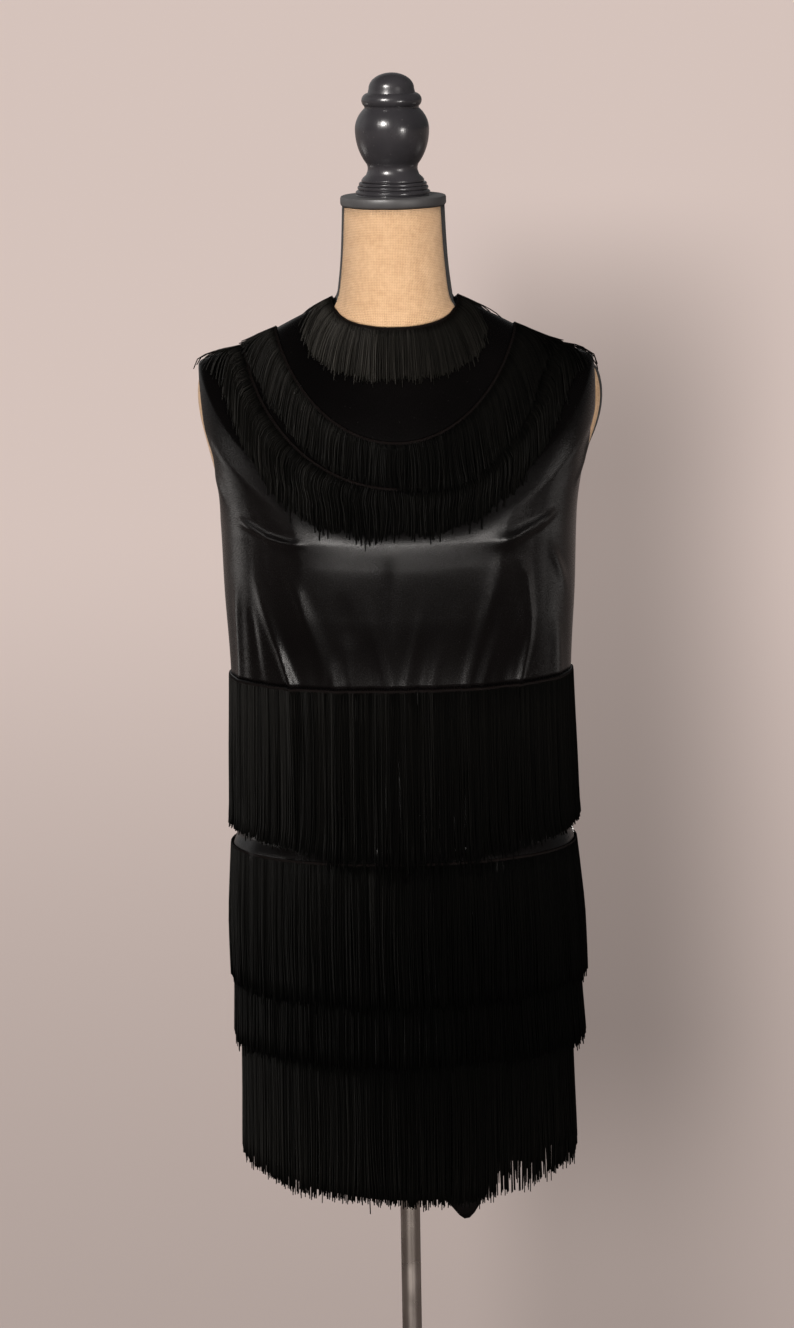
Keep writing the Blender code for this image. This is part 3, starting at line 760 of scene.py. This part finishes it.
fringeShape = {
    "bandHeight": 5.0, "rootShare": 0.6, "strandRadius": 0.74, "layers": 3, "clump": 5,
    "ragged": {"yoke": 1.8, "tier": 2.6}, "waves": 1.6, "longShare": 0.06, "longBy": (2, 9),
    "gather": 0.75, "sway": 0.5, "wander": 0.35, "firstLift": 1.3, "unevenLift": 0.35,
}
even = ((-180, 1), (180, 1))
anyRow = {"ahead": 0.0, "stopAt": None, "sparse": None}
yokeRow = {
    **anyRow, "points": 7, "layerStep": 0.6, "pull": 0.95, "shift": 0.0, "end": 174,
    "paintedLightHeadTip": (0.2, 0.13), "kind": "yoke",
    "paintedLightByAngle": ((-110, 1.5), (-75, 3.2), (-45, 2.4), (-15, 1), (20, 1), (50, 2), (90, 2.2), (110, 1)),
}
tierRow = {
    **anyRow, "points": 8, "layerStep": 0.95, "pull": 0.3, "shift": 3.5, "end": 180,
    "paintedLightHeadTip": (0.05, 0.03), "kind": "tier", "strands": 2100, "paintedLightByAngle": even,
}
# Hang is roughly how far the strands stand off the cloth, half way down and at the tip, in mm.
# Lengths are (angle, mm). The factors by angle are painted light, (angle, factor): the yoke rows'
# strands are lighter towards the shoulders and sides, most round -75 degrees where the side light
# falls. The head and tip factors are painted light and shade: each row gets its own level of light,
# the neck row the most, and a tier darkens from head to tip, except the lowest, which lightens
# towards the hem. StopAt is the ring that tips end on and between which angles. Sparse is the angles
# where a share of the strands is shorter, by up to so many mm.
fringeRows = {
    "neck": {
        **yokeRow, "node": "fringe_neck", "ring": "neckline", "end": 168, "hang": (1.4, 1.0),
        "strands": 1080, "seed": 11, "paintedLightHeadTip": (1.35, 1.25), "paintedLightByAngle": even,
        "lengths": ((-180, 54), (180, 54)),
    },
    "yokeUpper": {
        **yokeRow, "node": "fringe_yoke_upper", "ring": "upper_row", "hang": (2.6, 3.0),
        "strands": 1500, "seed": 23, "stopAt": ("lower_row", -92, 0),
        "lengths": ((-174, 50), (0, 51), (14, 56), (30, 68), (62, 70), (90, 54), (174, 50)),
    },
    "yokeLower": {
        **yokeRow, "node": "fringe_yoke_lower", "ring": "lower_row", "hang": (1.8, 1.6),
        "strands": 1560, "seed": 37,
        "lengths": ((-174, 44), (-110, 50), (-90, 58), (-60, 68), (-40, 68), (-20, 58), (0, 49),
                    (20, 56), (90, 62), (110, 50), (174, 44)),
    },
    "tier1": {
        **tierRow, "node": "fringe_tier_1", "ring": "waist_seam", "hang": (4.0, 5.6),
        "seed": 41, "shift": 1.0, "paintedLightHeadTip": (0.26, 0.09),
        "lengths": ((-180, 166), (-90, 156), (-60, 165), (-25, 181), (0, 184), (25, 181),
                    (60, 166), (90, 157), (180, 166)),
    },
    "tier2": {
        **tierRow, "node": "fringe_tier_2", "ring": "second_tier", "hang": (6.0, 9.5),
        "seed": 53, "paintedLightHeadTip": (0.13, 0.03), "ahead": 0.13,
        "lengths": ((-180, 125), (-90, 125), (-50, 133), (0, 135), (50, 131), (90, 125), (180, 125)),
    },
    "tier3": {
        **tierRow, "node": "fringe_tier_3", "ring": "third_tier", "hang": (5.0, 10.5), "seed": 67,
        "lengths": ((-180, 132), (-90, 131), (0, 133), (90, 131), (180, 132)),
    },
    "tier4": {
        **tierRow, "node": "fringe_tier_4", "ring": "fourth_tier", "hang": (4.0, 7.5),
        "seed": 79, "shift": 1.0, "sparse": (31, 78, 0.6, 30), "paintedLightHeadTip": (0.03, 0.28),
        "lengths": ((-180, 150), (-90, 138), (-70, 144), (-50, 155), (-20, 163), (0, 167),
                    (20, 167), (40, 160), (62, 149), (90, 140), (180, 150)),
    },
}


def fringeStrands(name, row):
    generator = np.random.default_rng(row["seed"])
    count, end, points = row["strands"], row["end"], row["points"]
    spacing = 2 * end / count
    angle = np.linspace(-end, end, count, endpoint=end < 180)
    angle = angle + generator.normal(0, 0.3 * spacing, count)
    angle = np.clip(angle, -end, end) if end < 180 else angle
    layer = np.arange(count) % fringeShape["layers"]
    length = np.interp(angle, *zip(*row["lengths"]))
    ragged = fringeShape["ragged"][row["kind"]]
    length += smoothNoise(generator, angle, 50, fringeShape["waves"]) + generator.normal(0, ragged, count)
    longer = generator.uniform(0, 1, count) < fringeShape["longShare"]
    length += np.where(longer, generator.uniform(*fringeShape["longBy"], count), 0)
    if row["sparse"]:
        low, high, share, most = row["sparse"]
        chosen = (angle > low) & (angle < high) & (generator.uniform(0, 1, count) < share)
        length -= np.where(chosen, generator.uniform(0.3, 1, count) * most, 0)
    ring = ringNames.index(row["ring"]) - row["ahead"]
    root = fringeShape["rootShare"] * fringeShape["bandHeight"]
    start = furtherDown(angle, ring, np.full((count, 1), root * mm))[:, 0]
    swung, t = hangingPath(angle, start, (length - root) * mm, points, row["pull"])
    if row["stopAt"]:
        # these tips end on the braid below, so the strands are cut there and laid again
        stop, low, high = row["stopAt"]
        last = ringNames.index(stop) + generator.normal(0.02, 0.03, count)
        held = (angle > low) & (angle < high) & (t[:, -1] > last)
        share = (last - t[:, 0]) / (t[:, -1] - t[:, 0])
        length = np.where(held, root + (length - root) * share, length)
        swung, t = hangingPath(angle, start, (length - root) * mm, points, row["pull"])
    steps = np.linspace(0, 1, points)
    clump = fringeShape["clump"] * spacing
    centre = (np.round(angle / clump) + generator.normal(0, 0.12, count)) * clump
    pull = generator.uniform(0.0, fringeShape["gather"], count)[:, None] * steps**1.6
    sway = generator.normal(0, fringeShape["sway"], count)[:, None] * steps**1.3
    wander = smoothNoise(generator, angle, 60, fringeShape["wander"])[:, None]
    sway = sway + wander * np.sin(np.pi * steps) * 1.2
    swung = swung + pull * (centre - angle)[:, None] + sway
    if end < 180:
        swung = np.clip(swung, -end - 1.0, end + 1.0)
    knee, tip = row["hang"]
    lifts = [fringeShape["firstLift"], knee + 0.5, tip + 0.5]
    lift = np.interp(steps, [0, 0.5, 1], lifts)[None, :]
    lift = lift + (layer * row["layerStep"])[:, None] * (0.35 + 0.65 * steps)
    lift = lift + row["shift"] * np.sin(np.radians(swung)) * steps
    lift = lift + generator.normal(0, fringeShape["unevenLift"], count)[:, None] * steps
    if end < 180:
        lift = lift + clothRelief(swung, dressPoint(swung, t)[..., 2] / mm) / mm
    elif row["ring"] == "waist_seam":
        lift = lift + clothRelief(angle, np.full(count, seamHeight))[:, None] / mm * (1 - 0.7 * steps)
    paths = dressPoint(swung, t) + outward(swung, t) * (lift * mm)[..., None]
    thick = fringeShape["strandRadius"] * generator.uniform(0.85, 1.12, count)[:, None]
    radius = thick * np.interp(steps, [0, 0.1, 0.9, 1], [0.8, 1.0, 1.0, 0.8])[None, :] * mm
    head, tips = row["paintedLightHeadTip"]
    # random tone, plus painted light and shade: each outer layer of strands a little lighter than the one
    # under it
    shade = np.clip(generator.uniform(0, 0.7, count) + 0.15 * layer, 0, 1)
    # painted light: yoke strands lighter towards the shoulders and sides, most round -75 degrees where the
    # side light falls
    shade = shade * np.interp(angle, *zip(*row["paintedLightByAngle"]))
    # painted light and shade down each strand, from the row's head factor to its tip factor
    tone = shade[:, None] * (head + (tips - head) * steps)
    turn = generator.uniform(0, 2 * np.pi, count)
    mesh = tubes(name, paths, sidewaysStep(swung, t), radius, 3, tone, turn)
    print("strands", name, count, len(mesh.polygons), "faces")
    return addPiece(name, mesh, chainette, "black_fringe", row["node"])


braidShape = {"period": 7.0, "pointsEach": 5, "weave": 1.3, "rise": 0.45, "yarn": 0.72, "lift": 1.35}


def braid(name, row):
    # three yarns that weave across each other along the head of the fringe
    end = row["end"]
    fineAngles = np.linspace(-end, end, 721)
    ring = ringNames.index(row["ring"]) - row["ahead"]
    halfBand = np.full((len(fineAngles), 1), fringeShape["bandHeight"] / 2 * mm)
    middle = furtherDown(fineAngles, ring, halfBand)[:, 0]
    line = dressPoint(fineAngles, middle)
    walk = np.append(0, np.cumsum(np.linalg.norm(np.diff(line, axis=0), axis=1)))
    periods = round(walk[-1] / (braidShape["period"] * mm))
    places = np.linspace(0, walk[-1], periods * braidShape["pointsEach"] + 1)
    angle = np.interp(places, walk, fineAngles)
    t = np.interp(places, walk, middle)
    base, normal = dressPoint(angle, t), outward(angle, t)
    if end < 180 or row["ring"] == "waist_seam":
        base = base + normal * clothRelief(angle, np.maximum(base[:, 2] / mm, seamHeight))[:, None]
    down = unit(dressPoint(angle, t + 0.03) - dressPoint(angle, t - 0.03 * (t > 0.03)))
    phase = 2 * np.pi * periods * places / walk[-1]
    paths = []
    for yarn in range(3):
        swing = phase + 2 * np.pi * yarn / 3
        aside = braidShape["weave"] * np.sin(swing) * mm
        rise = (braidShape["lift"] + braidShape["rise"] * np.sin(2 * swing)) * mm
        paths.append(base + down * aside[:, None] + normal * rise[:, None])
    paths = np.array(paths)
    radius = np.full(paths.shape[:2], braidShape["yarn"] * mm)
    mesh = tubes(name, paths, np.array([normal] * 3), radius, 4, np.full(paths.shape[:2], 0.5))
    return addPiece(name, mesh, braidYarn, "black_fringe")


fringes = {name: fringeStrands(name + "Fringe", row) for name, row in fringeRows.items()}
braids = {name: braid(name + "Braid", row) for name, row in fringeRows.items()}


def meshOf(node, name, foldDegrees, shapeLimit, sharpDegrees=None):
    # a node's own body, merged and turned back to quads, with its sharper edges kept if asked
    shape = bmesh.new()
    shape.from_mesh(frame["nodes"][node].data)
    bmesh.ops.remove_doubles(shape, verts=shape.verts, dist=0.00005)
    bmesh.ops.join_triangles(
        shape, faces=shape.faces, angle_face_threshold=0.6, angle_shape_threshold=shapeLimit
    )
    if sharpDegrees:
        sharp = shape.edges.layers.float.new("crease_edge")
        for edge in shape.edges:
            if len(edge.link_faces) == 2 and edge.calc_face_angle() > math.radians(sharpDegrees):
                edge[sharp] = 1.0
    mesh = meshFrom(shape, name)
    polish(mesh, foldDegrees)
    return mesh


def formCover():
    mesh = meshOf("form_torso", "formCover", 60, 1.2, 55)
    piece = addPiece("formCover", mesh, cover, "form_cover", "form_torso")
    finer = piece.modifiers.new("Finer", "SUBSURF")
    finer.levels = finer.render_levels = 2


def turned(name, profile, material, slotName, node, steps=96):
    # (radius, height) points in mm from the top down the outside, spun round Z
    shape = bmesh.new()
    line = [shape.verts.new((radius * mm, 0, height * mm)) for radius, height in profile]
    edges = [shape.edges.new(pair) for pair in zip(line, line[1:])]
    bmesh.ops.spin(
        shape, geom=line + edges, cent=(0, 0, 0), axis=(0, 0, 1), angle=2 * math.pi, steps=steps,
        use_merge=True,
    )
    bmesh.ops.remove_doubles(shape, verts=shape.verts, dist=0.00001)
    bmesh.ops.recalc_face_normals(shape, faces=shape.faces)
    mesh = meshFrom(shape, name)
    polish(mesh, 32)
    addPiece(name, mesh, material, slotName, node)


def arcPoints(centre, size, startDegrees, endDegrees, count):
    # an elliptic arc; 0 degrees is straight out from its centre and 90 straight up
    turns = np.radians(np.linspace(startDegrees, endDegrees, count))
    return [(centre[0] + size[0] * math.cos(a), centre[1] + size[1] * math.sin(a)) for a in turns]


def finialProfile(foot):
    profile = arcPoints((0, foot + 104), (22.3, 15.3), 90, 0, 14)
    profile += arcPoints((21.6, foot + 92.5), (8.0, 7.5), 78, -48, 12)
    profile += arcPoints((0, foot + 64.3), (36.4, 30.5), 43, 0, 14)
    profile += arcPoints((0, foot + 64.3), (36.4, 47), -4, -46, 12)
    profile += [(24.5, foot + 27.5), (24.6, foot + 24.5), (26.2, foot + 20), (29.6, foot + 17)]
    rings = {"upper": (30.6, 14.5), "middle": (33.2, 11), "lower": (34.6, 7.5), "foot": (36.4, 2.8)}
    for radius, height in rings.values():
        profile += arcPoints((radius - 1.3, foot + height), (1.6, 1.9), 70, -70, 5)
    return profile + [(36.2, foot), (0, foot)]


def sizeOf(node):
    # a round node's radius and the heights of its foot and its top, in mm
    low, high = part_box(node)
    return high[0] / mm, low[2] / mm, high[2] / mm


def standPieces():
    _, foot, _ = sizeOf("finial")
    turned("finialTurned", finialProfile(foot), lacquer, "black_wood", "finial")
    radius, low, high = sizeOf("neck_cap")
    rim = [(0, high), (radius - 2, high), (radius - 0.6, high - 0.6), (radius, high - 2)]
    rim += [(radius, low + 2.5), (radius - 1, low + 0.8), (radius - 2.5, low), (0, low)]
    turned("neckCap", rim, capPaint, "black_cap", "neck_cap")
    radius, low, high = sizeOf("pole")
    bore = radius + 0.3
    rod = [(0, high), (radius - 0.8, high), (radius, high - 0.8), (radius, low), (0, low)]
    turned("poleTube", rod, poleSteel, "steel", "pole", 64)
    radius, low, high = sizeOf("pole_flange")
    plate = [(0, high), (radius, high)] + arcPoints((radius - 3, low + 3), (3, 3), 0, -90, 6)
    turned("poleFlange", plate + [(0, low)], poleSteel, "steel", "pole_flange", 64)
    _, low, high = sizeOf("base_collar")
    ring = [(bore, low), (bore, high - 0.5), (bore + 0.5, high), (17, high)]
    ring += arcPoints((17, high - 2), (2, 2), 60, 0, 4) + [(19, low + 7)]
    ring += arcPoints((25, low + 6.5), (6, 6.2), 180, 265, 8) + [(25, low), (bore, low)]
    turned("baseCollar", ring, baseSteel, "steel", "base_collar", 72)
    radius, low, high = sizeOf("base")
    plate = [(0, high), (26, high), (radius - 12, 9.2)]
    plate += arcPoints((radius - 4, 4.5), (4, 4), 75, 0, 6) + [(radius, 1), (radius - 1, 0), (0, 0)]
    turned("baseDisc", plate, baseSteel, "steel", "base", 128)


def placketPiece():
    # the flap over the back opening keeps its place and gets softly rounded edges
    mesh = meshOf("back_placket", "backPlacket", 40, 1.5)
    piece = addPiece("backPlacket", mesh, satin, "black_satin", "back_placket")
    edge = piece.modifiers.new("Edge", "BEVEL")
    edge.width = 0.4 * mm
    edge.segments = 2
    edge.limit_method = "ANGLE"
    edge.angle_limit = math.radians(40)
    return piece


formCover()
standPieces()
placket = placketPiece()
print("form and stand made")


def makeStage():
    look = {"colour": (0.80, 0.665, 0.615), "near": 0.68, "shade": 0.52, "size": 160.0}
    ground = bmesh.new()
    bmesh.ops.create_grid(ground, x_segments=1, y_segments=1, size=look["size"] / 2)
    mesh = meshFrom(ground, "floor")
    floor = placeObject("floor", mesh)
    material, tree, shader, place = newMaterial("paleFloor", look["colour"], 0.9, Specular_IOR_Level=0.0)
    place = place["Object"]
    x, y, _ = positionParts(tree, place)
    # painted shade: the floor darker in front of and round the stand, brightening up to 7.5 m behind it
    away = rangeNode(tree, y, 0.5, 7.5, look["near"], 1.0)
    # a soft wedge of shade on the right that widens towards the back
    ahead = mathNode(tree, "ADD", y, 4.0)
    wedge = mathNode(tree, "DIVIDE", mathNode(tree, "SUBTRACT", x, 0.05), ahead)
    side = times(tree, rangeNode(tree, wedge, 0.0, 0.03), rangeNode(tree, wedge, 0.10, 0.047))
    shade = times(tree, side, rangeNode(tree, y, 18.0, 8.0))
    shade = times(tree, shade, rangeNode(tree, y, 1.0, 2.4, 0.35, 1.0))
    shade = mathNode(tree, "MULTIPLY_ADD", shade, look["shade"] - 1, 1.0)
    bright = times(tree, away, shade)
    ray = addNode(tree, "LightPath").outputs
    # reflections and bounced light meet a darker floor, and reflections the darkest near the stand
    distance = addNode(tree, "VectorMath", {0: place}, operation="LENGTH")
    close = rangeNode(tree, distance.outputs["Value"], 2.5, 8.0, 0.82, 0.5)
    unseen = times(tree, ray["Is Glossy Ray"], close)
    unseen = mathNode(tree, "MAXIMUM", unseen, times(tree, ray["Is Diffuse Ray"], 0.6))
    level = times(tree, bright, mathNode(tree, "SUBTRACT", 1.0, unseen))
    tint = addNode(tree, "VectorMath", {"Scale": level}, operation="SCALE")
    tint.inputs[0].default_value = look["colour"]
    join(tree, tint.outputs[0], shader["Base Color"])
    mesh.materials.append(material)
    return floor


def makeLight(name, kind, power, colour, place, aim, spread, size=None):
    data = bpy.data.lights.new(name, kind)
    data.energy = power
    data.color = colour
    if kind == "AREA":
        data.shape = "RECTANGLE"
        data.size, data.size_y = size
        data.spread = math.radians(spread)
    else:
        data.angle = math.radians(spread)
    light = placeObject(name, data)
    light.location = place
    heading = Vector(aim) - Vector(place)
    light.rotation_euler = heading.to_track_quat("-Z", "Y").to_euler()
    light.visible_camera = False
    return light


def litOnly(name, pieces, state="INCLUDE"):
    # a collection that says which pieces a light reaches, or which it leaves out
    chosen = bpy.data.collections.new(name)
    for piece in pieces:
        chosen.objects.link(piece)
    for entry in chosen.collection_objects:
        entry.light_linking.link_state = state
    return chosen


def makeLights(floor):
    warm = (1.0, 0.955, 0.92)
    pieces = bpy.data.objects
    head = [pieces["finialTurned"], pieces["neckCap"]]
    behind = [pieces[name] for name in ("bodiceBack", "skirtBack", "backPlacket")]
    reach = {
        "dress": litOnly("litByBoxes", [floor, *head], "EXCLUDE"),
        "sides": litOnly("litByWalls", [floor], "EXCLUDE"),
        "head": litOnly("litFromAbove", head),
        "form": litOnly("litSoftly", [pieces["formCover"]]),
        "back": litOnly("litFromBehind", behind),
        "fringe": litOnly("fringeLit", list(fringes.values())),
        "floor": litOnly("litBySun", [floor]),
    }
    # power, place, height aimed at over the middle, size, spread in degrees, what it reaches
    boxes = {
        "keyBox": (11.0, (-0.9, -3.3, 0.80), 1.15, (1.6, 0.26), 62, "dress"),
        "fillBox": (7.5, (1.5, -3.1, 0.80), 1.15, (1.5, 0.26), 62, "dress"),
        "leftStrip": (0.8, (-3.0, -0.9, 1.35), 1.1, (1.3, 0.2), 62, "dress"),
        "rightStrip": (0.7, (3.0, -0.9, 0.95), 1.1, (0.9, 0.2), 62, "dress"),
        "headBox": (11.5, (-1.3, -2.25, 2.95), 1.45, (0.45, 0.5), 50, "head"),
        "headFill": (2.8, (1.9, -2.9, 1.62), 1.5, (0.35, 0.45), 50, "head"),
        "neckSoft": (4.2, (-1.2, -2.6, 2.2), 1.42, (0.9, 0.9), 50, "form"),
        "leftWall": (2.0, (-2.7, 1.5, 0.2), 1.0, (0.9, 0.7), 120, "sides"),
        "rightWall": (1.1, (2.8, 0.9, 0.1), 1.0, (0.9, 0.6), 120, "sides"),
        "backBox": (7.0, (1.2, 3.1, 0.8), 1.1, (1.2, 0.5), 70, "back"),
        "leftHigh": (55.0, (-3.3, -0.3, 2.3), 1.1, (0.9, 0.9), 70, "fringe"),
    }
    for name, (power, place, aimHeight, size, spread, reached) in boxes.items():
        light = makeLight(name, "AREA", power, warm, place, (0, 0, aimHeight), spread, size)
        light.light_linking.receiver_collection = reach[reached]
    pale = (1.0, 0.985, 0.975)
    sun = makeLight("floorSun", "SUN", 1.80, pale, (-0.6, -1.0, 3.0), (0, 0, 0), 110)
    sun.light_linking.receiver_collection = reach["floor"]
    world = bpy.data.worlds.new("studio")
    bpy.context.scene.world = world
    world.use_nodes = True
    tree = world.node_tree
    sky = tree.nodes["Background"]
    x, y, z = positionParts(tree, addNode(tree, "TexCoord").outputs["Generated"])
    # the studio's far wall, brightest on the left, is what the edges of the cloth reflect
    wall = rangeNode(tree, x, -0.7, 0.6, 0.45, 0.10)
    wall = times(tree, wall, rangeNode(tree, y, -0.25, 0.35))
    wall = times(tree, wall, rangeNode(tree, z, 0.8, 0.3))
    reflected = mathNode(tree, "ADD", wall, 0.02)
    path = addNode(tree, "LightPath").outputs["Is Glossy Ray"]
    strength = addNode(tree, "Mix", {"Factor": path, "A": 0.30, "B": reflected})
    join(tree, strength.outputs["Result"], sky.inputs["Strength"])
    feed(tree, pale, sky.inputs["Color"])


def makeCamera():
    view = {
        "lens": 124.15, "sensor": 36.0, "place": (-0.00403, -4.5, 1.86216), "pitch": 10.7, "roll": 0.98
    }
    data = bpy.data.cameras.new("frontCamera")
    data.lens = view["lens"]
    data.sensor_width = view["sensor"]
    data.clip_end = 400
    camera = placeObject("frontCamera", data)
    tilt = Matrix.Rotation(math.radians(90 - view["pitch"]), 4, "X")
    lean = Matrix.Rotation(math.radians(-view["roll"]), 4, "Z")
    camera.matrix_world = Matrix.Translation(view["place"]) @ tilt @ lean
    bpy.context.scene.camera = camera


makeLights(makeStage())
makeCamera()
bpy.context.scene.view_settings.view_transform = "Standard"
